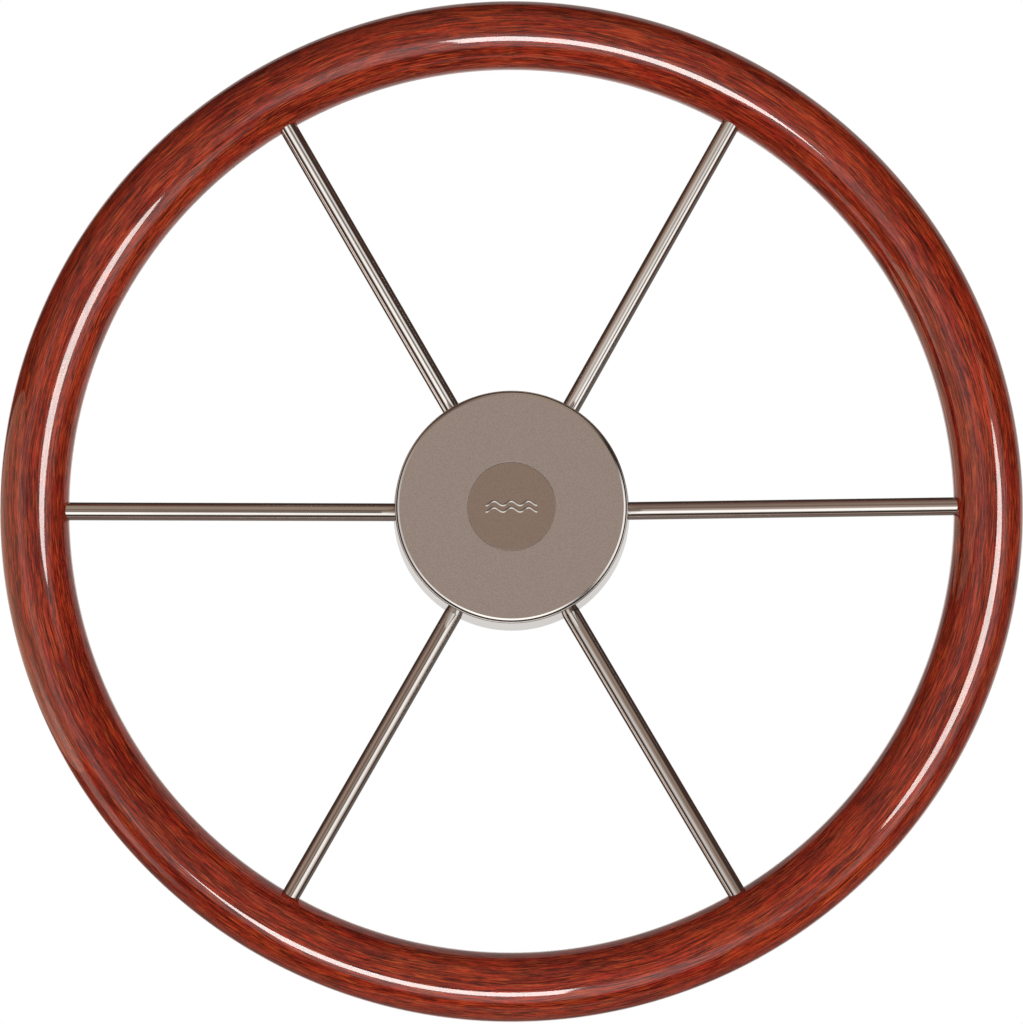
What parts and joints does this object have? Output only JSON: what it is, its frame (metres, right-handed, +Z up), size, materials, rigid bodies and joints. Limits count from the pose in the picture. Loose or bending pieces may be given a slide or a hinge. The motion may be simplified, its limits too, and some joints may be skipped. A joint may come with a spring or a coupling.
{
  "type": "ship steering wheel",
  "caption": "Round wood-rimmed marine steering wheel with dished rod spokes, a drum hub for a tapered shaft, and a pull-off cap over the shaft nut.",
  "frame": {"origin": "on the wheel's axis, at the rear face of the hub's boss, where the helm's shaft enters", "axes": "+Y along the wheel's axis towards the helm, so the front faces -Y; +Z up through the keyway; +X to the right as the helmsman sees it"},
  "size_m": [0.45, 0.0518, 0.45],
  "materials": {
    "mahogany": "high-gloss varnished mahogany, grain along the rim",
    "hoop_steel": "plain rolled bar, hidden in the rim",
    "polished_steel": "polished stainless steel",
    "satin_steel": "fine satin stainless steel, with a polished bevel",
    "cast_alloy": "turned alloy",
    "badge_grey": "fine satin, a little darker than the cap",
    "raised_mark": "polished relief",
    "fastener_steel": "plain machined stainless steel",
    "rubber": "black nitrile rubber"
  },
  "bodies": {
    "wheel": {"rim_front": "mahogany", "rim_rear": "mahogany", "rim_hoop": "hoop_steel", "spoke_1": "polished_steel", "spoke_2": "polished_steel", "spoke_3": "polished_steel", "spoke_4": "polished_steel", "spoke_5": "polished_steel", "spoke_6": "polished_steel", "hub_core": "cast_alloy", "hub_drum": "polished_steel", "set_screw_1": "fastener_steel", "set_screw_2": "fastener_steel", "set_screw_3": "fastener_steel", "set_screw_4": "fastener_steel", "set_screw_5": "fastener_steel", "set_screw_6": "fastener_steel"},
    "cap": {"hub_cap": "satin_steel", "cap_ring": "rubber", "cap_badge": "badge_grey", "badge_wave_upper": "raised_mark", "badge_wave_lower": "raised_mark"},
    "washer": {"shaft_washer": "fastener_steel"},
    "nut": {"shaft_nut": "fastener_steel"}
  },
  "joints": [
    {"name": "cap_pull", "type": "slide", "parent": "wheel", "child": "cap", "axis": [0, -1, 0], "range_m": [0, 0.06]},
    {"name": "nut_travel", "type": "slide", "parent": "wheel", "child": "washer", "axis": [0, -1, 0], "range_m": [0, 0.0064]},
    {"name": "nut_turn", "type": "hinge", "parent": "washer", "child": "nut", "pos_m": [0, -0.035, 0], "axis": [0, -1, 0], "range_deg": [0, 1800]}
  ],
  "couplings": [
    {"joint": "nut_travel", "follows": "nut_turn", "m_per_rad": 0.00020213}
  ]
}
